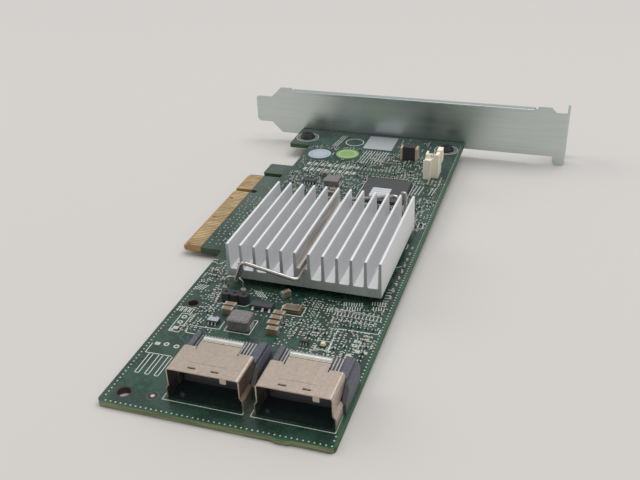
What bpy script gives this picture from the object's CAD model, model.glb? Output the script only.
"""A half-length storage controller card: looks, materials, floor, light and camera.

Lengths are worked out in millimetres and turned into metres where a mesh is made.
"""

import bpy
import numpy as np
from mathutils import Matrix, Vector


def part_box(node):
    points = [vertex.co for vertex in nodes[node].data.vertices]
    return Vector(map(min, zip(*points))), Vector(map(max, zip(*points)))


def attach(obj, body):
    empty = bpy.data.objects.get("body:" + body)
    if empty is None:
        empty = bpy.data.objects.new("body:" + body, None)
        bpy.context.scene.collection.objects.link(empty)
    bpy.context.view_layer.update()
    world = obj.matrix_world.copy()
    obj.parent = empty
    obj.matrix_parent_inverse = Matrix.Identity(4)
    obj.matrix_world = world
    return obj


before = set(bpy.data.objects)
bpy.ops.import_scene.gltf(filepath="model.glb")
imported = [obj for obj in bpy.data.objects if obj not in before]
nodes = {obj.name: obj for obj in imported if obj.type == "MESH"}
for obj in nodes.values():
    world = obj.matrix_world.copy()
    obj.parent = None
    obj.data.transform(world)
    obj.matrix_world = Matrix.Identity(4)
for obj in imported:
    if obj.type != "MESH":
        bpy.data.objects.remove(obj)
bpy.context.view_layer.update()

# ------------------------------------------------------------------ circuit board
# Glass-epoxy laminate, 1.57 mm thick, under a dark blue-green solder mask.  Copper under
# the mask shows a little paler.  The routed rim and the strip between the gold contacts
# are bare tan laminate, in layers.
MM = 0.001


class Field:
    """A socket's value, so that shader maths reads as plain expressions."""

    def __init__(self, finish, socket):
        self.finish, self.socket = finish, socket

    def math(self, operation, *values):
        """The result of a Math node."""
        return self.finish.node("ShaderNodeMath", {"operation": operation}, *values)

    def __add__(self, other):
        return self.math("ADD", self, other)

    def __sub__(self, other):
        return self.math("SUBTRACT", self, other)

    def __rsub__(self, other):
        return self.math("SUBTRACT", other, self)

    def __mul__(self, other):
        return self.math("MULTIPLY", self, other)

    def __gt__(self, other):
        return self.math("GREATER_THAN", self, other)

    def __lt__(self, other):
        return self.math("LESS_THAN", self, other)

    def __abs__(self):
        return self.math("ABSOLUTE", self)

    def off_grid(self, first, pitch):
        """Distance to the nearest of the even steps first, first + pitch and so on."""
        return self.math("PINGPONG", self - first, pitch / 2)

    def soft(self, low, high):
        """0 below low, 1 above high and a smooth step between."""
        return self.finish.node("ShaderNodeMapRange", {"interpolation_type": "SMOOTHSTEP"}, self, low, high)

    __radd__, __rmul__ = __add__, __mul__


class Finish:
    """One procedural material: a Principled shader and the nodes that feed it."""

    def __init__(self, name, rough=0.5, metal=0.0):
        self.material = bpy.data.materials.new(name)
        self.material.use_nodes = True
        self.tree = self.material.node_tree
        self.shader = self.tree.nodes["Principled BSDF"]
        self.place = self.node("ShaderNodeTexCoord", {}, out="Object")
        self.feed("Roughness", rough)
        self.feed("Metallic", metal)

    def join(self, target, value):
        """Links a field to a socket, or sets the socket to a plain value."""
        if isinstance(value, Field):
            self.tree.links.new(value.socket, target)
        elif target.type == "RGBA":
            target.default_value = (*value, 1.0)
        else:
            target.default_value = value

    def feed(self, socket, value):
        """Sets or links one of the shader's own sockets."""
        self.join(self.shader.inputs[socket], value)

    def node(self, kind, settings, *values, out=0):
        """Any node: its settings first, then its inputs in order, or by name in a dictionary."""
        made = self.tree.nodes.new(kind)
        for key, value in settings.items():
            setattr(made, key, value)
        for place, value in enumerate(values):
            for key, inner in (value if isinstance(value, dict) else {place: value}).items():
                self.join(made.inputs[key], inner)
        return Field(self, made.outputs[out])

    def axis(self, index):
        """One coordinate of the place on the piece, in millimetres."""
        return self.node("ShaderNodeSeparateXYZ", {}, self.place, out=index) * (1 / MM)

    def away(self, x, y):
        """Distance from a place on the plan, in millimetres."""
        here = self.node("ShaderNodeCombineXYZ", {}, self.axis(0), self.axis(1))
        return self.node("ShaderNodeVectorMath", {"operation": "DISTANCE"}, here, (x, y, 0), out="Value")

    def noise(self, size, detail=2.0, stretch=(1, 1, 1)):
        """Cloudy noise between 0 and 1, in blobs of about size millimetres; stretch squeezes each axis."""
        at = self.node("ShaderNodeMapping", {}, {"Vector": self.place, "Scale": stretch})
        return self.node("ShaderNodeTexNoise", {}, {"Vector": at, "Scale": 1 / (size * MM), "Detail": detail})

    def blend(self, factor, one, two):
        """Colour that goes from one to two as the factor goes from 0 to 1."""
        first, second, result = 6, 7, 2      # a Mix node's sockets when it mixes colours
        return self.node("ShaderNodeMix", {"data_type": "RGBA"},
                         {"Factor": factor, first: one, second: two}, out=result)

    def shades(self, factor, one, two):
        """Base colour that goes from one to two as the factor goes from 0 to 1."""
        self.feed("Base Color", self.blend(factor, one, two))

    def bump(self, height, distance):
        """Relief of the given distance in millimetres."""
        self.feed("Normal", self.node("ShaderNodeBump", {}, {"Height": height, "Distance": distance * MM}))

    def on(self, *names):
        """Gives this finish to nodes of the frame."""
        for name in names:
            nodes[name].data.materials.clear()
            nodes[name].data.materials.append(self.material)


board_low, board_high = (np.array(corner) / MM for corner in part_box("board"))
board_top, board_bottom = board_high[2], board_low[2]
contact_low, contact_high = (np.array(corner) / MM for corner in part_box("edge_contacts"))
sighting_dot = (24.5, -104.2)          # target for the machine that places the parts
ringed_places = [(17.5, -104.7, 1.6), (16.92, -67.4, 1.35), (*sighting_dot, 0.8)]   # x, y, radius

mask = Finish("solder_mask")
x, y, z = mask.axis(0), mask.axis(1), mask.axis(2)
# Pours of copper, the weave of the glass cloth, fine dark routing, and patches with no copper.
behind_sockets = -84.0
pour = mask.noise(9, 3.0).soft(0.46, 0.54)
weave = mask.noise(0.7, 3.0).soft(0.35, 0.7)
crowded = mask.noise(1.1, 2.0).soft(0.5, 0.62) * (y > behind_sockets)
green = mask.blend(pour, (0.016, 0.041, 0.029), (0.030, 0.067, 0.047))
green = mask.blend(weave * 0.3, green, (0.036, 0.074, 0.054))
green = mask.blend(crowded * 0.5, green, (0.010, 0.022, 0.019))
bare_mask = mask.noise(2.6, 1.0).soft(0.66, 0.69) * (y > behind_sockets + 4.0)
green = mask.blend(bare_mask, green, (0.020, 0.09, 0.055))
pale_corner = (1 - x.soft(9.0, 14.5)) * y.soft(-30.0, 0.0)      # behind the contacts, to the bracket
green = mask.blend(pale_corner * 0.55, green, (0.085, 0.110, 0.088))
# Rows of pads under the mask, on the front corner and in the mouths of the sockets.
pads_from, pads_to, corner_end = -102.8, -94.5, 24.0
masked_pads = (x.off_grid(17.8, 2.55) < 0.6) * (y.off_grid(-99.5, 2.7) < 0.55)
masked_pads = masked_pads * (y < pads_to) * (y > pads_from) * (z > 0)
green = mask.blend(masked_pads * (x < corner_end), green, (0.014, 0.08, 0.048))
# Brighter mask along the right and front rims, where no copper lies under it.
margin = x.soft(board_high[0] - 0.6, board_high[0] - 0.5)
margin = margin + (1 - y.soft(board_low[1] + 0.6, board_low[1] + 0.75))
green = mask.blend(margin * 0.8, green, (0.018, 0.11, 0.045))
mouth_middles, mouth_half, mouth_from, mouth_to = (36.9, 58.0), 8.4, -103.6, -92.0
in_mouths = sum(abs(x - middle) < mouth_half for middle in mouth_middles)
in_mouths = in_mouths * (y < mouth_to) * (y > mouth_from) * (z > 0)
green = mask.blend(in_mouths * 0.85, green, (0.022, 0.028, 0.030))
green = mask.blend(in_mouths * masked_pads * 0.7, green, (0.012, 0.05, 0.03))
# Bare laminate on the rim and the contact strip, and dark rings round the holes and the dot.
layers = mask.noise(0.35, 2.0, (0.05, 0.05, 1.0)).soft(0.35, 0.65)
tan = mask.blend(layers, (0.13, 0.15, 0.07), (0.25, 0.26, 0.14))
tan = mask.blend(y < board_low[1] + 0.8, (0.03, 0.075, 0.026), tan)
rim = abs(z) < board_top - 0.06
bevel_reach = 1.3                        # of the strip beyond the first and last contact
contact_strip = (y > contact_low[1] - bevel_reach) * (y < contact_high[1] + bevel_reach)
contact_strip = contact_strip * (x < contact_high[0] + 0.05)
lowest = (board_bottom - 1, board_bottom - 1, 0)       # the holes show on both faces, the dot on one
ringed = sum((1 - mask.away(at_x, at_y).soft(radius + 0.35, radius + 0.5)) * (z > level)
             for (at_x, at_y, radius), level in zip(ringed_places, lowest))
coated = mask.blend(ringed, mask.blend(rim, green, tan), (0.045, 0.025, 0.02))
bevel_tan = mask.blend(layers, (0.36, 0.19, 0.06), (0.46, 0.27, 0.11))
bare_strip = mask.blend(rim, (0.17, 0.115, 0.055), bevel_tan)
mask.shades(contact_strip, coated, bare_strip)
mask.feed("Roughness", 0.26 + 0.3 * rim + 0.2 * contact_strip + 0.08 * weave - 0.12 * in_mouths)
mask.bump(pour * 0.6 + weave * 0.4, 0.012)
mask.on("board")

# ------------------------------------------------------------------ traces and silver pads
# Etched copper: traces run as slightly raised lines under the mask, and where the mask is
# left open they are tinned pads and vias.  Each is a very flat bar or disc on the board.
dice = np.random.default_rng(11)


def piece(name, points, faces, finish, slot):
    """Object at the origin and on the card's body, from an array of points in millimetres and
    arrays of faces, one for each number of corners."""
    mesh = bpy.data.meshes.new(name)
    mesh.from_pydata((points * MM).tolist(), [], [face for group in faces for face in group.tolist()])
    mesh.materials.append(finish.material)
    made = bpy.data.objects.new(name, mesh)
    bpy.context.collection.objects.link(made)
    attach(made, "root")
    return made


def bars(lines, width, low, high):
    """Points and faces of straight bars: an upright rectangle, width wide and from low to high,
    is carried from (x0, y0) to (x1, y1) for every row of lines."""
    lines = np.atleast_2d(lines).astype(float)
    start, end = lines[:, :2], lines[:, 2:4]
    along = end - start
    along /= np.linalg.norm(along, axis=1, keepdims=True)
    side = np.stack([-along[:, 1], along[:, 0]], axis=1) * np.reshape(width, (-1, 1)) / 2
    rims = [np.column_stack([at + sign * side, np.full(len(at), level)])
            for at in (start, end) for sign, level in ((-1, low), (1, low), (1, high), (-1, high))]
    points = np.stack(rims, axis=1).reshape(-1, 3)
    box = np.array([(1, 5, 4, 0), (2, 6, 5, 1), (3, 7, 6, 2), (0, 4, 7, 3), (3, 2, 1, 0), (4, 5, 6, 7)])
    return points, [(box + 8 * np.arange(len(lines))[:, None, None]).reshape(-1, 4)]


def rings(places, inner, outer, low, high, sides=12):
    """Points and faces of flat rings about (x, y) places: the rectangle between the inner and
    outer radius and from low to high is turned about each place."""
    places = np.atleast_2d(places).astype(float)
    turn = np.arange(sides) * 2 * np.pi / sides
    profile = np.array([(inner, high), (outer, high), (outer, low), (inner, low)])
    circle = np.stack([np.cos(turn), np.sin(turn)], axis=1)
    flat = places[:, None, None, :2] + profile[None, :, None, :1] * circle[None, None]
    level = np.broadcast_to(profile[None, :, None, 1:], flat.shape[:3] + (1,))
    points = np.concatenate([flat, level], axis=3).reshape(-1, 3)
    i, k = np.meshgrid(np.arange(4), np.arange(sides), indexing="ij")
    i_next, k_next = (i + 1) % 4, (k + 1) % sides
    quads = np.stack([i * sides + k, i_next * sides + k, i_next * sides + k_next, i * sides + k_next],
                     axis=-1).reshape(-1, 4)
    return points, [(quads + 4 * sides * np.arange(len(places))[:, None, None]).reshape(-1, 4)]


def discs(places, radius, low, high, sides=6):
    """Points and faces of flat discs: a circle of the given radius about each (x, y) place,
    from low to high, closed above and below."""
    places = np.atleast_2d(places).astype(float)
    turn = np.arange(sides) * 2 * np.pi / sides
    circle = radius * np.stack([np.cos(turn), np.sin(turn)], axis=1)
    flat = np.tile(places[:, None, :2] + circle, (1, 2, 1))
    level = np.broadcast_to(np.repeat((low, high), sides), flat.shape[:2])[..., None]
    ring = np.arange(sides)
    walls = np.stack([ring, (ring + 1) % sides, (ring + 1) % sides + sides, ring + sides], axis=1)
    caps = np.stack([ring + sides, ring[::-1]])
    shift = 2 * sides * np.arange(len(places))[:, None, None]
    points = np.concatenate([flat, level], axis=2).reshape(-1, 3)
    return points, [(walls + shift).reshape(-1, 4), (caps + shift).reshape(-1, sides)]


def joined(*shapes):
    """Several sets of points and faces as one; each set's faces move past the points before it."""
    starts = np.cumsum([0] + [len(points) for points, _ in shapes])
    faces = [group + start for (_, groups), start in zip(shapes, starts) for group in groups]
    return np.concatenate([points for points, _ in shapes]), faces


def grid(x0, y0, x1, y1, step_x, step_y):
    """Even places over a rectangle, as rows of x, y."""
    at = np.meshgrid(np.arange(x0, x1 + 0.01, step_x), np.arange(y0, y1 + 0.01, step_y), indexing="ij")
    return np.stack([part.ravel() for part in at], axis=1)


def loose(places, reach):
    """Places shifted at random by up to reach."""
    return places + dice.uniform(-reach, reach, places.shape)


def bundle(x0, y0, x1, y1, count, pitch):
    """Parallel lines: one from (x0, y0) to (x1, y1) and its copies, a pitch apart along X."""
    shift = np.arange(count)[:, None] * pitch
    return np.array([x0, y0, x1, y1]) + shift * np.array([1, 0, 1, 0])


map_cell, map_margin, map_size = 0.25, 5, (90, 190)


def map_cells(places):
    """Rows and columns of the board's map for rows of x, y."""
    return ((places[:, :2] - board_low[:2] + map_margin) / map_cell).astype(int)


def taken_by_parts():
    """Map of the board's top, true within half a millimetre of whatever stands on it.

    Small parts mark the cells under their corners; large ones fill their whole box."""
    filled = np.zeros([int(side / map_cell) for side in map_size], bool)
    large = ("heat_sink", "memory_chip", "stock_label", "pale_dot_label", "lime_dot_label", "coil_body",
             "filter_coil_body", "choke_body", "header_body", "supply_socket_body", "power_switch_body",
             "crystal_base", "left_cage", "right_cage", "left_socket_housing", "right_socket_housing")
    for name, node in nodes.items():
        if name in ("board", "bracket", "edge_contacts") or name.startswith("underside"):
            continue
        corners = np.empty(len(node.data.vertices) * 3)
        node.data.vertices.foreach_get("co", corners)
        corners = corners.reshape(-1, 3) / MM
        corners = corners[corners[:, 2] > board_top - 0.05]
        spot = map_cells(corners)
        if name in large:
            (a, b), (c, d) = spot.min(axis=0), spot.max(axis=0)
            filled[a:c + 1, b:d + 1] = True
        else:
            filled[spot[:, 0], spot[:, 1]] = True
    keep_off = 0.4
    for at_x, at_y, radius in ringed_places:
        a, b = map_cells(np.array([(at_x, at_y)]) - radius - keep_off)[0]
        reach = int(2 * (radius + keep_off) / map_cell) + 1
        filled[a:a + reach, b:b + reach] = True
    grown, cells = filled.copy(), range(-2, 3)
    for dx in cells:
        for dy in cells:
            grown |= np.roll(filled, (dx, dy), axis=(0, 1))
    return grown


part_map = taken_by_parts()


def is_open(places):
    """True for each of the places where the board is free."""
    rows, columns = map_cells(places).T
    return ~part_map[rows, columns]


def open_places(places):
    """Those of the places where the board is free."""
    return places[is_open(places)]


trace_green = Finish("trace_under_mask", 0.3)
trace_green.shades(trace_green.noise(2.0), (0.04, 0.085, 0.068), (0.085, 0.145, 0.12))
starts = open_places(dice.uniform((14, -84), (67, 57), (900, 2)))
heading = dice.integers(0, 8, len(starts)) * np.pi / 4
reach = dice.uniform(1.5, 6.0, len(starts))
ends = starts + reach[:, None] * np.stack([np.cos(heading), np.sin(heading)], axis=1)
routing_from, routing_to = (13.6, -107.0), (68.2, 57.5)
inside = ((ends > routing_from) & (ends < routing_to)).all(axis=1)
inside &= is_open(ends) & is_open((starts + ends) / 2) & is_open(0.3 * starts + 0.7 * ends)
routed = np.concatenate([
    np.column_stack([starts, ends])[inside], bundle(66.3, -20.0, 66.3, 20.0, 3, 0.55),
    bundle(13.6, -32.0, 13.6, 20.0, 3, 0.6), bundle(52.5, 36.0, 53.5, 44.0, 5, 0.9),
    bundle(7.0, -36.0, 13.5, -31.0, 1, 1.0), bundle(14.2, 26.0, 14.2, 46.5, 3, 0.62),
    bundle(58.6, 1.0, 58.6, 17.0, 4, 0.55),
])
trace_width, trace_height = 0.16, 0.012
piece("traces", *bars(routed, trace_width, board_top - 0.01, board_top + trace_height), trace_green, "board")

tinned = Finish("tinned_copper", 0.4, 0.3)
tinned.shades(tinned.noise(0.8), (0.40, 0.42, 0.37), (0.66, 0.67, 0.60))
tinned.bump(tinned.noise(0.4), 0.02)
edge_step, edge_start = 1.267, -106.7
near_x = np.arange(14.9, 68.2, edge_step)
near_row = np.column_stack([near_x, np.full_like(near_x, board_low[1] + 1.0)])


def column(x0, y0, count):
    """Vias in a row along Y, an even step apart, where the board is free."""
    return open_places(np.column_stack([np.full(count, x0), y0 + np.arange(count) * edge_step]))


via_fields = [(11, -36, 14, 6, 34), (14, -66, 24, -44, 70), (14, -14, 67, 44, 760), (44, -80, 67, -57, 380),
              (30.5, -60.5, 62.5, -56.4, 170), (24.5, -58.5, 31, -55.8, 40), (62.8, -57, 66.2, -36, 90),
              (19, -79, 27, -57, 120)]         # x0, y0, x1, y1, number of tries
via_step = np.array((0.92, 0.98))


def via_field(x0, y0, x1, y1, tries):
    """Vias at random steps of one even grid inside a rectangle, none twice."""
    steps = np.round(dice.uniform((x0, y0), (x1, y1), (tries, 2)) / via_step)
    return open_places(np.unique(steps, axis=0) * via_step)


vias = np.concatenate([
    near_row, column(14.0, edge_start, 46), column(board_high[0] - 0.8, edge_start, 128),
    column(board_high[0] - 2.4, -62.0, 28), open_places(loose(grid(7.6, -36.0, 12.8, -3.0, 1.75, 1.9), 0.4)),
    open_places(grid(45.5, -65.5, 51.5, -57.0, 1.25, 1.25)),
    open_places(grid(35.0, -68.0, 39.0, -60.5, 1.5, 1.4)), *[via_field(*area) for area in via_fields],
])

square_pads = np.array([(17.5, -78.8, 1.5), (16.2, -86.1, 1.4), (63.4, -72.3, 1.5), (63.2, -74.1, 1.5),
                        (65.5, -70.9, 1.2), (64.4, -76.2, 1.6), (66.4, -76.3, 1.3), (62.9, -78.0, 1.3)])
pad_x, pad_y, pad_length = square_pads.T
pad_bars = np.column_stack([pad_x - pad_length / 2, pad_y, pad_x + pad_length / 2, pad_y])
bank_count, bank_step, bank_start = 8, 2.58, 17.7
long_pads = np.concatenate([bundle(bank_start, y0, bank_start + 0.25, y0 + 2.3, bank_count, bank_step)
                            for y0 in (21.0, 25.7)])
round_pads = [(17.5, -73.9), (17.5, -76.3), (18.5, -85.8), (21.3, -86.0), (41.0, -62.5)]
top = (board_top - 0.02, board_top + 0.035)            # levels of the tinned pads on each face
bottom = (board_bottom - 0.035, board_bottom + 0.02)
piece("vias", *discs(vias, 0.23, *top), tinned, "tin")
piece("underside_vias", *discs(vias[::2], 0.2, *bottom), tinned, "tin")
piece("bare_pads", *joined(bars(pad_bars, 0.8 * pad_length, *top), bars(long_pads, 1.1, *top),
                           rings(round_pads, 0.35, 0.75, *top, sides=16),
                           discs([sighting_dot], 0.5, *top, sides=16)), tinned, "tin")

pressed_tin = Finish("pressed_tin", 0.5, 0.2)
pressed_tin.shades(pressed_tin.noise(1.1), (0.10, 0.115, 0.09), (0.24, 0.25, 0.205))
pressed_tin.bump(pressed_tin.noise(0.5), 0.015)
screw_places = [(9.4, 50.2), (63.4, 50.2)]
piece("screw_pads", *rings(screw_places, 2.2, 3.95, *top, sides=48), pressed_tin, "tin")

# ------------------------------------------------------------------ printed legend
# White epoxy ink screened on the mask, a few hundredths of a millimetre thick: outlines of
# the sockets and packages, strokes round the small parts, and rings round the screw pads.
ink = Finish("legend_ink", 0.6)
ink.shades(ink.noise(0.6, 3.0), (0.50, 0.53, 0.50), (0.72, 0.74, 0.70))


def outline(x0, y0, x1, y1):
    """Four lines round the rectangle from (x0, y0) to (x1, y1)."""
    return [(x0, y0, x1, y0), (x1, y0, x1, y1), (x1, y1, x0, y1), (x0, y1, x0, y0)]


def around(name, gap):
    """Outline of a node's footprint, a gap outside it."""
    low, high = (np.array(corner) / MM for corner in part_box(name))
    return outline(low[0] - gap, low[1] - gap, high[0] + gap, high[1] + gap)


def chain(*stops):
    """Lines from each stop to the next."""
    return [(*one, *two) for one, two in zip(stops, stops[1:])]


mouth = board_low[1] + 4.8               # front line of the socket outlines
legend = [(27.1, mouth, 46.5, mouth), (27.1, mouth, 27.1, -88.0), (46.5, mouth, 46.5, -99.0),
          (48.4, mouth, 67.7, mouth), (48.4, mouth, 48.4, -99.0), (67.7, mouth, 67.7, -87.5)]
for name, gap in (("memory_chip", 0.6), ("crystal_base", 0.5), ("lamp_base", 1.0), ("coil_body", 0.5),
                  ("filter_coil_body", 0.45)):
    legend += around(name, gap)
for corners in ((16.2, -80.4, 19.0, -72.4), (63.6, -25.0, 65.2, -22.4), (65.6, -12.0, 67.0, -8.6)):
    legend += outline(*corners)
for stops in (
        ((16.3, -80.2), (17.4, -79.8), (16.3, -79.4)), ((14.9, -86.2), (14.9, -90.0), (21.9, -89.9)),
        ((23.2, -65.9), (21.9, -64.0), (21.9, -60.0), (24.0, -59.2), (30.4, -59.2)),
        ((23.2, -65.9), (24.4, -65.4), (30.9, -65.4), (31.9, -64.0)),
        ((57.5, -68.4), (67.7, -68.2), (67.7, -66.2)), ((54.7, -66.2), (54.7, -59.9), (66.9, -61.0)),
        ((53.8, -72.8), (54.4, -78.3)), ((57.5, -68.4), (57.5, -78.5)), ((64.4, -72.0), (64.4, -75.2)),
        ((20.4, -77.7), (20.9, -80.0), (24.5, -80.1)), ((28.5, -73.2), (28.5, -76.6), (21.0, -76.9)),
        ((63.9, -36.6), (66.0, -35.0))):
    legend += chain(*stops)
# Repeated strokes: first place, steps along X and Y, how many, and the stroke's own stops.
comb, slant = ((0, 0), (0, -7.4), (1.0, -7.4), (1.0, 0)), ((0, 0), (0.3, -1.7))
for (x0, y0), (step_x, step_y), count, stroke in (
        ((16.2, -90.2), (2.6, 0), 2, comb), ((21.3, -90.2), (2.6, 0), 1, comb),
        ((14.3, -71.8), (1.15, 0), 4, ((0, 0), (0, 2.2), (0.7, 2.2), (0.7, 0))),
        ((30.2, -57.2), (0.75, -0.1), 4, ((0, 0), (2.7, -2.8))),
        ((52.2, -60.4), (0.66, 0.12), 7, slant), ((55.6, -56.6), (0.66, 0.12), 8, slant),
        ((57.0, -58.4), (0.66, 0.12), 6, slant), ((62.7, -54.4), (0.66, 0.12), 6, slant),
        ((63.6, -56.8), (0.66, 0.12), 5, slant), ((65.2, -56.0), (0, 1.35), 7, ((0, 0), (1.4, 0.25))),
        ((55.4, -60.9), (0.95, 0), 13, ((0, 0), (0, -2.0), (0.5, -2.0))),
        ((56.0, -63.8), (1.2, 0), 9, ((0, 0), (0, -1.4)))):
    for i in range(count):
        legend += chain(*[(x0 + i * step_x + dx, y0 + i * step_y + dy) for dx, dy in stroke])
for run in ((18.9, 20.2, 19.3, 24.4, 7, 2.58), (18.9, 25.2, 19.3, 29.4, 7, 2.58),
            (21.3, 44.0, 22.6, 55.0, 3, 0.8), (34.4, 31.6, 35.2, 43.0, 9, 1.05),
            (14.0, -61.0, 15.0, -58.2, 4, 0.75), (58.9, 10.5, 59.5, 17.6, 3, 1.1),
            (64.4, 11.5, 65.0, 17.4, 2, 1.0)):
    legend += [tuple(line) for line in bundle(*run)]
ink_top = (board_top - 0.02, board_top + 0.028)
ink_width = 0.2
piece("sighting_ring", *rings([sighting_dot], 1.25, 1.5, *ink_top, sides=32), trace_green, "board")
piece("legend_lines", *bars(legend, ink_width, *ink_top), ink, "white_label")
piece("legend_rings", *joined(rings(screw_places, 4.15, 4.15 + ink_width, *ink_top, sides=48),
                              rings([(28.6, 49.4)], 3.2, 3.5, *ink_top, sides=40)), ink, "white_label")

# ------------------------------------------------------------------ gold contacts
# Edge contacts: bars of copper foil on both faces of the board, plated with nickel and a thin
# hard gold.  The free ends are browner, and fine streaks show where the slot's springs rubbed.
gold = Finish("contact_gold", metal=1.0)
wear = gold.noise(1.6, 3.0, (0.3, 1.0, 1.0)).soft(0.35, 0.7)
tip = 1 - gold.axis(0).soft(0.2, 1.5)
worn_gold = gold.blend(wear, (0.72, 0.50, 0.25), (0.86, 0.65, 0.37))
gold.shades(tip * 0.7, worn_gold, (0.50, 0.24, 0.08))
gold.feed("Roughness", 0.24 + 0.2 * wear)
gold.bump(gold.noise(0.3, 2.0, (0.1, 1.0, 1.0)), 0.004)
gold.on("edge_contacts")

# ------------------------------------------------------------------ bracket and its screws
# Sheet steel, 0.86 mm, pressed and folded, with a satin zinc coat that keeps the rolling
# direction of the sheet.  Two black pan head screws hold it to the board.
zinc = Finish("satin_zinc", metal=1.0)
grain = zinc.noise(0.7, 4.0, (0.03, 1.0, 1.0))
clouds = zinc.noise(14, 2.0)
cut_rim = zinc.noise(0.4, 2.0)
streaks = grain.soft(0.3, 0.7) * 0.5 + clouds * 0.5
zinc.shades(streaks, (0.53, 0.585, 0.57), (0.63, 0.675, 0.655))
zinc.feed("Roughness", 0.23 + 0.1 * grain + 0.06 * clouds)
zinc.bump(grain * 0.7 + cut_rim * 0.3, 0.003)
zinc.on("bracket")

black_oxide = Finish("black_screw", 0.5, 0.3)
black_oxide.shades(black_oxide.noise(0.9, 3.0), (0.009, 0.009, 0.010), (0.030, 0.030, 0.032))
black_oxide.bump(black_oxide.noise(0.25, 3.0), 0.02)
black_oxide.on("bracket_screws")

# ------------------------------------------------------------------ cooler
# Extruded aluminium with twelve fins, sawn to length and left bare, on a thermal pad.  A steel
# spring wire crosses its saddle and hooks under two wire anchors soldered into the board.
bare_aluminium = Finish("cooler_aluminium", metal=0.7)
drawn = bare_aluminium.noise(0.35, 3.0, (1.0, 0.05, 0.5))
pits = bare_aluminium.noise(0.5, 4.0).soft(0.35, 0.75)
height = bare_aluminium.axis(2)
crest = height.soft(board_top + 11.9, board_top + 12.4)
sink_low, sink_high = (np.array(corner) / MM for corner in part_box("heat_sink"))
sawn = (bare_aluminium.axis(1) < sink_low[1] + 0.03) + (bare_aluminium.axis(1) > sink_high[1] - 0.03)
saw_marks = bare_aluminium.noise(0.5, 3.0, (1.0, 1.0, 0.06))
extruded = bare_aluminium.blend(drawn, (0.76, 0.76, 0.765), (0.85, 0.85, 0.855))
extruded = bare_aluminium.blend(crest, extruded, (0.84, 0.84, 0.84))
sink_x = (sink_low[0] + sink_high[0]) / 2
rubbed = bare_aluminium.noise(0.6, 3.0, (1.0, 0.04, 1.0)).soft(0.35, 0.6)
saddle = (abs(bare_aluminium.axis(0) - sink_x) < 1.55) * (height > board_top + 5.5)
saddle = saddle * (height < board_top + 11.4)
extruded = bare_aluminium.blend(saddle * rubbed * 0.7, extruded, (0.45, 0.385, 0.33))
cut_face = bare_aluminium.blend(saw_marks, (0.44, 0.47, 0.44), (0.60, 0.63, 0.60))
bare_aluminium.shades(sawn, extruded, cut_face)
bare_aluminium.feed("Roughness", 0.48 + 0.12 * drawn - 0.06 * sawn)
bare_aluminium.bump(drawn * 0.6 + pits * 0.3 + sawn * saw_marks * 0.4, 0.012)
bare_aluminium.on("heat_sink")

spring_steel = Finish("spring_wire", metal=1.0)
draw_lines = spring_steel.noise(0.35, 3.0, (0.3, 0.3, 1.0))
spring_steel.shades(draw_lines, (0.38, 0.35, 0.32), (0.62, 0.59, 0.56))
spring_steel.feed("Roughness", 0.16 + 0.16 * draw_lines)
spring_steel.bump(draw_lines, 0.003)
spring_steel.on("heat_sink_clip", "clip_anchors")

solder = Finish("solder_fillet", 0.3, 1.0)
solder.shades(solder.noise(0.7), (0.30, 0.28, 0.22), (0.52, 0.49, 0.41))
solder.bump(solder.noise(0.4), 0.03)
solder.on("anchor_solder")

grey_pad = Finish("thermal_pad_grey", 0.8)
grey_pad.shades(grey_pad.noise(0.3, 3.0), (0.24, 0.25, 0.27), (0.38, 0.39, 0.41))
grey_pad.bump(grey_pad.noise(0.25, 3.0), 0.03)
grey_pad.on("thermal_pad")

# ------------------------------------------------------------------ moulded packages
# Controller, memory, regulator and small chips: black epoxy mould filled with silica, whose
# faces are spark-eroded matt; the leads are tinned copper alloy.
mould = Finish("black_mould")
speckle = mould.noise(0.22, 2.0).soft(0.35, 0.75)
plain = mould.blend(speckle, (0.04, 0.041, 0.043), (0.075, 0.076, 0.079))
pale_top = (mould.away(25.85, -74.0) < 2.6) * (mould.axis(2) > board_top + 0.95)
mould.shades(pale_top, plain, (0.36, 0.38, 0.42))
mould.feed("Roughness", 0.42 + 0.16 * speckle)
mould.bump(mould.noise(0.12, 2.0), 0.01)
mould.on("controller_chip", "memory_chip", "power_switch_body", "small_chips")

tin = Finish("tinned_leads", metal=0.6)
tin.shades(tin.noise(0.6, 3.0), (0.58, 0.58, 0.56), (0.82, 0.82, 0.79))
tin.feed("Roughness", 0.24 + 0.2 * tin.noise(0.4, 2.0))
tin.bump(tin.noise(0.3, 2.0), 0.012)
tin.on("header_contacts", "supply_pins", "coil_ends", "filter_coil_ends", "power_switch_leads",
       "small_chip_leads", "chip_resistor_ends", "chip_capacitor_ends",
       "underside_capacitor_ends")

# ------------------------------------------------------------------ coils and choke
# Pressed iron-powder coil, a low filter coil and a choke of dark ferrite with cream terminals
# at its ends.  The low header beside them is moulded in a plastic just as dark.
iron_powder = Finish("pressed_iron", 0.6)
crumbs = iron_powder.noise(0.3, 3.0)
iron_powder.shades(crumbs.soft(0.3, 0.75), (0.13, 0.115, 0.115), (0.25, 0.225, 0.22))
iron_powder.bump(crumbs, 0.03)
iron_powder.on("coil_body", "filter_coil_body")

ferrite = Finish("ferrite", 0.4)
ferrite.shades(ferrite.noise(0.4, 3.0), (0.018, 0.018, 0.02), (0.055, 0.053, 0.055))
ferrite.bump(ferrite.noise(0.3, 3.0), 0.02)
ferrite.on("choke_body", "header_body")

cream = Finish("cream_terminal", 0.5)
cream.shades(cream.noise(0.7, 3.0), (0.40, 0.32, 0.20), (0.62, 0.54, 0.40))
cream.bump(cream.noise(0.3, 3.0), 0.015)
cream.on("choke_ends")

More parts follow.
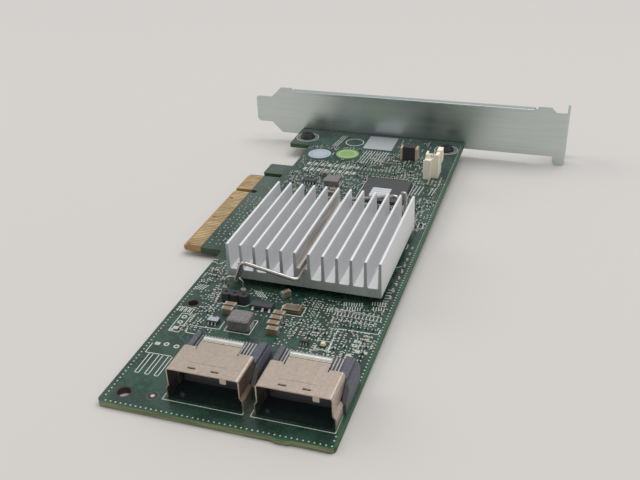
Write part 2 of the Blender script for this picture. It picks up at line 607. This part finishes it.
# ------------------------------------------------------------------ crystal and lamp
# The crystal is a ceramic tray closed by a metal lid, whose welded seam shows a gold rim; the
# lamp is a tiny ceramic base with a cast cream lens.  Both are soldered flat on the board.
ceramic = Finish("brown_ceramic_tray", 0.5)
ceramic.shades(ceramic.noise(0.3), (0.07, 0.052, 0.035), (0.14, 0.105, 0.07))
ceramic.bump(ceramic.noise(0.2), 0.01)
ceramic.on("crystal_base", "lamp_base")

lid = Finish("crystal_lid", 0.32, 1.0)
lid_low, lid_high = (np.array(corner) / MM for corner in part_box("crystal_lid"))
lid_middle, lid_half = (lid_low + lid_high) / 2, (lid_high - lid_low) / 2
seam_width = 0.28
seam = sum(abs(lid.axis(i) - lid_middle[i]) > lid_half[i] - seam_width for i in (0, 1))
satin = lid.blend(lid.noise(1.2, 2.0), (0.26, 0.24, 0.22), (0.36, 0.34, 0.31))
lid.shades(seam * (lid.axis(2) > lid_high[2] - 0.1), satin, (0.80, 0.55, 0.22))
lid.bump(lid.noise(0.4, 2.0, (1, 0.2, 1)), 0.01)
lid.on("crystal_lid")

lens_cream = Finish("lamp_lens", 0.3)
lens_cream.shades(lens_cream.noise(0.6), (0.62, 0.54, 0.28), (0.80, 0.74, 0.50))
lens_cream.bump(lens_cream.noise(0.4), 0.01)
lens_cream.on("lamp_lens")

# ------------------------------------------------------------------ cable sockets
# Two four-lane sockets: tinned nickel-silver cages, stamped and folded, over black liquid
# crystal polymer housings that hold two rows of tinned contacts.
nickel = Finish("cage_nickel", metal=1.0)
rolled = nickel.noise(0.6, 3.0, (1.0, 0.08, 1.0))
stain = nickel.noise(0.6, 4.0)
sheet = nickel.blend(stain.soft(0.3, 0.7), (0.555, 0.455, 0.375), (0.62, 0.52, 0.435))
cage_low, cage_high = (np.array(corner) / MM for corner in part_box("left_cage"))
bead_y, score_y = cage_high[1] - 1.3, cage_low[1] + 3.4
ridge = abs(nickel.axis(1) - bead_y)
ridge_line = (ridge > 0.85) * (ridge < 1.1) * (nickel.axis(2) > board_top + 8.3)
sheet = nickel.blend(ridge < 0.6, sheet, (0.74, 0.80, 0.71))
socket_spacing = 21.1
along_roof = nickel.axis(0).off_grid((cage_low[0] + cage_high[0]) / 2, socket_spacing) < 4.6
score = along_roof * (abs(nickel.axis(1) - score_y) < 0.07)
nickel.shades(ridge_line + score * 0.6, sheet, (0.22, 0.17, 0.13))
nickel.feed("Roughness", 0.3 + 0.12 * rolled + 0.06 * stain)
nickel.bump(rolled * 0.5 + stain * 0.5, 0.006)
nickel.on("left_cage", "right_cage")

polymer = Finish("socket_plastic")
mottle = polymer.noise(0.35, 3.0)
moulded = polymer.blend(mottle.soft(0.3, 0.75), (0.06, 0.06, 0.078), (0.125, 0.125, 0.155))
in_cage = (polymer.axis(1) < cage_high[1] - 5.0) * (polymer.axis(2) < board_top + 6.9)
polymer.shades(in_cage, moulded, (0.075, 0.072, 0.078))
polymer.feed("Roughness", 0.38 + 0.2 * mottle)
polymer.bump(mottle, 0.015)
polymer.on("left_socket_housing", "right_socket_housing")

lane_tin = Finish("lane_contacts", 0.3, 1.0)
lane_tin.shades(lane_tin.noise(0.5, 3.0), (0.52, 0.50, 0.47), (0.74, 0.72, 0.69))
lane_tin.bump(lane_tin.noise(0.3, 2.0), 0.01)
lane_tin.on("left_socket_contacts", "right_socket_contacts")

ivory = Finish("ivory_plastic")
grown = ivory.noise(1.6, 3.0)
ivory.shades(grown, (0.84, 0.77, 0.62), (0.92, 0.86, 0.72))
ivory.feed("Roughness", 0.42 + 0.16 * grown)
ivory.bump(ivory.noise(0.25, 3.0), 0.012)
ivory.on("supply_socket_body")


def pin_places(name):
    """Where a connector's three pins pass through the board: rows of x, y along its longer side."""
    low, high = (np.array(corner)[:2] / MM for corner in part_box(name))
    reach = (high - low) / 2 - 0.28
    reach[np.argmin(reach)] = 0
    return (low + high) / 2 + np.outer((-1, 0, 1), reach)


pins = np.concatenate([pin_places("supply_pins"), pin_places("header_contacts")])
pin_end = 0.45                            # how far the pins stand out below the board
piece("pin_joints", *joined(discs(pins, 0.75, *bottom, sides=16),
                            discs(pins, 0.42, board_bottom - pin_end, board_bottom - 0.02, sides=16)),
      solder, "solder")

# ------------------------------------------------------------------ chip parts
# Ceramic capacitors fired tan to brown, thick-film resistors under black glass, both with
# tinned ends.  The CAD model has the larger ones; the smallest, 1.0 x 0.5 mm, stand here.
brown = Finish("brown_ceramic")
brown.shades(brown.noise(0.8, 3.0), (0.17, 0.125, 0.072), (0.29, 0.225, 0.14))
brown.feed("Roughness", 0.34 + 0.2 * brown.noise(0.5))
brown.bump(brown.noise(0.25, 3.0), 0.015)
brown.on("capacitors", "underside_capacitors")

tan_ceramic = Finish("tan_ceramic", 0.45)
tan_ceramic.shades(tan_ceramic.noise(1.5, 3.0), (0.20, 0.15, 0.09), (0.34, 0.27, 0.18))
tan_ceramic.bump(tan_ceramic.noise(0.25, 3.0), 0.012)
tan_ceramic.on("chip_capacitors")

dull_tin = Finish("capacitor_ends", 0.42, 0.6)
dull_tin.shades(dull_tin.noise(0.6, 3.0), (0.34, 0.32, 0.28), (0.56, 0.54, 0.50))
dull_tin.bump(dull_tin.noise(0.3), 0.012)
dull_tin.on("capacitor_ends")

black_glass = Finish("black_ceramic", 0.24)
black_glass.shades(black_glass.noise(0.8, 3.0), (0.014, 0.014, 0.017), (0.05, 0.05, 0.056))
black_glass.bump(black_glass.noise(0.25, 2.0), 0.01)
black_glass.on("chip_resistors")


def chips(spots, turn, length, width, high):
    """Chip parts at (x, y) spots, turned along X (0) or Y (1), as two sets of bars: the bodies,
    which fill the middle half of each length, and the pairs of ends."""
    along = np.stack([1 - turn, turn], axis=1)
    half, cap = length / 2, length / 4
    low = board_top - 0.01

    def run(a, b, inset, top):
        """Bars from a to b along each part, an inset narrower than it."""
        return bars(np.column_stack([spots + a * along, spots + b * along]), width - inset, low, top)

    ends = [run(a, a + cap, 0.0, board_top + high) for a in (-half, half - cap)]
    return run(-half + cap, half - cap, 0.04, board_top + high - 0.03), joined(*ends)


def packed(spots, gap):
    """Spots kept in order so that no two lie closer than the gap, on open board only."""
    kept = np.empty((0, 2))
    for spot in open_places(spots):
        if len(kept) == 0 or np.abs(kept - spot).max(axis=1).min() > gap:
            kept = np.vstack([kept, spot])
    return kept


chip_fields = [                          # x0, y0, x1, y1, number of tries
    (14.0, -58.0, 24.0, -44.0, 90), (19.5, -69.5, 23.5, -57.5, 40), (18.8, -79.0, 24.0, -69.2, 30),
    (44.0, -74.5, 53.5, -67.3, 50), (53.0, -80.3, 62.0, -68.6, 70), (62.3, -80.8, 67.6, -69.0, 40),
    (54.5, -67.0, 67.3, -60.6, 90), (62.4, -56.0, 65.4, -36.0, 34), (62.9, -31.0, 66.0, -14.0, 9),
    (57.5, -12.5, 67.6, 9.0, 110), (57.5, 18.8, 67.6, 24.5, 60), (36.6, 20.5, 58.7, 41.5, 280),
    (14.0, -12.5, 57.5, 20.0, 380), (14.0, 24.0, 36.0, 44.0, 90), (45.5, 44.0, 58.0, 56.5, 30),
]
even = np.array((1.25, 1.3))
spots = np.concatenate([dice.uniform(area[:2], area[2:4], (area[4], 2)) for area in chip_fields])
spots = packed(np.round(spots / even) * even, 1.12)
pick = dice.random(len(spots))           # half are bare pads, three in ten resistors, the rest capacitors
turn = (np.floor(spots[:, 0] / 5.1) + np.floor(spots[:, 1] / 6.3)).astype(int) % 2
empty, dark = pick < 0.5, (pick >= 0.5) & (pick < 0.8)
piece("empty_pads", *chips(spots[empty], turn[empty], 1.25, 0.55, 0.035)[1], tinned, "tin")
chip_size = (1.05, 0.55, 0.38)           # length, width, height
for name, choice, finish, slot in (("small_resistors", dark, black_glass, "black_ceramic"),
                                   ("small_capacitors", ~(empty | dark), tan_ceramic, "tan_ceramic")):
    piece(name, *chips(spots[choice], turn[choice], *chip_size)[0], finish, slot)
piece("small_chip_ends", *chips(spots[~empty], turn[~empty], *chip_size)[1], tin, "tin")

# ------------------------------------------------------------------ labels
# Blank ruled paper labels on the memory chip and on the board, and two round film dots with a
# plain band inside the rim.
paper = Finish("white_label", 0.6)
fibres = paper.blend(paper.noise(0.5, 4.0), (0.49, 0.51, 0.51), (0.59, 0.61, 0.61))
by_bracket = paper.axis(1) > 30.0        # the stock label's paper is a little greyer
fibres = paper.blend(by_bracket, fibres, (0.40, 0.42, 0.43))
ruled = (paper.axis(1).off_grid(0.4, 1.5) < 0.17) * (paper.axis(2) > board_top + 0.1)
paper.shades(ruled * 0.55, fibres, (0.20, 0.21, 0.23))
paper.bump(paper.noise(0.25, 4.0), 0.006)
paper.on("memory_label", "stock_label")

ring_radius, ring_half = 3.1, 0.3
for name, one, two, band in (
        ("pale_dot_label", (0.36, 0.41, 0.46), (0.45, 0.49, 0.52), (0.24, 0.31, 0.46)),
        ("lime_dot_label", (0.18, 0.31, 0.11), (0.28, 0.41, 0.165), (0.44, 0.55, 0.31))):
    film = Finish(name + "_film", 0.45)
    centre = (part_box(name)[0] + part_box(name)[1]) / 2 / MM
    ring = abs(film.away(centre.x, centre.y) - ring_radius) < ring_half
    film.shades(ring * 0.6, film.blend(film.noise(1.5), one, two), band)
    film.bump(film.noise(0.4), 0.004)
    film.on(name)

# ------------------------------------------------------------------ table
# A pale matt table.  The card leans on the front of its board and on the bracket's lobe, so
# the table is tilted beneath it by about a degree and a half.
front_edge, lobe_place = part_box("board")[0], 59.4 * MM
tilt = (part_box("bracket")[0].z - front_edge.z) / (lobe_place - front_edge.y)
table_half, air_gap = 12.0, 0.00002      # in metres
corners = [(x0, y0, front_edge.z + (y0 - front_edge.y) * tilt - air_gap)
           for x0, y0 in np.array([(-1, -1), (1, -1), (1, 1), (-1, 1)]) * table_half]
top_mesh = bpy.data.meshes.new("table")
top_mesh.from_pydata(corners, [], [(0, 1, 2, 3)])
table = bpy.data.objects.new("table", top_mesh)
bpy.context.collection.objects.link(table)
matt = Finish("matt_table", 0.75)
matt.feed("Base Color", (0.585, 0.560, 0.529))
table.data.materials.append(matt.material)

# ------------------------------------------------------------------ light and camera
# One wide soft box behind and above the card, a weaker one at its side, and a pale room.  The
# camera looks down along the card from its front left corner.
world = bpy.data.worlds.new("studio")
bpy.context.scene.world = world
world.use_nodes = True
room = world.node_tree.nodes["Background"]
room.inputs["Color"].default_value = (0.95, 0.97, 1.0, 1.0)
room.inputs["Strength"].default_value = 0.55


def aimed(name, data, place, right, up):
    """Object that looks against the cross product of its right and up directions."""
    made = bpy.data.objects.new(name, data)
    bpy.context.collection.objects.link(made)
    right, up = np.array(right), np.array(up)
    axes = np.column_stack([right, up, np.cross(right, up), place])
    made.matrix_world = Matrix(axes.tolist() + [[0, 0, 0, 1]])
    return made


card_middle = (0.04, -0.02, 0.0)         # in metres


def soft_box(name, place, size, power):
    """Square area lamp turned to face the middle of the card."""
    lamp = bpy.data.lights.new(name, "AREA")
    lamp.size, lamp.energy = size, power
    back = np.array(place) - card_middle
    back /= np.linalg.norm(back)
    right = np.cross((0, 0, 1), back)
    right /= np.linalg.norm(right)
    aimed(name, lamp, place, right, np.cross(back, right))


soft_box("overhead", (0.28, 0.2, 1.08), 1.0, 7.8)
soft_box("side_fill", (-0.95, 0.15, 0.75), 0.8, 3.5)

lens = bpy.data.cameras.new("lens")
lens.lens, lens.sensor_width = 45.431, 36.0
lens.clip_start, lens.clip_end = 0.01, 20.0
bpy.context.scene.camera = aimed("camera", lens, (0.107469, -0.226254, 0.119244),
                                 (0.95125, 0.30678, -0.03161), (-0.1239, 0.47402, 0.87175))
bpy.context.scene.view_settings.view_transform = "Standard"
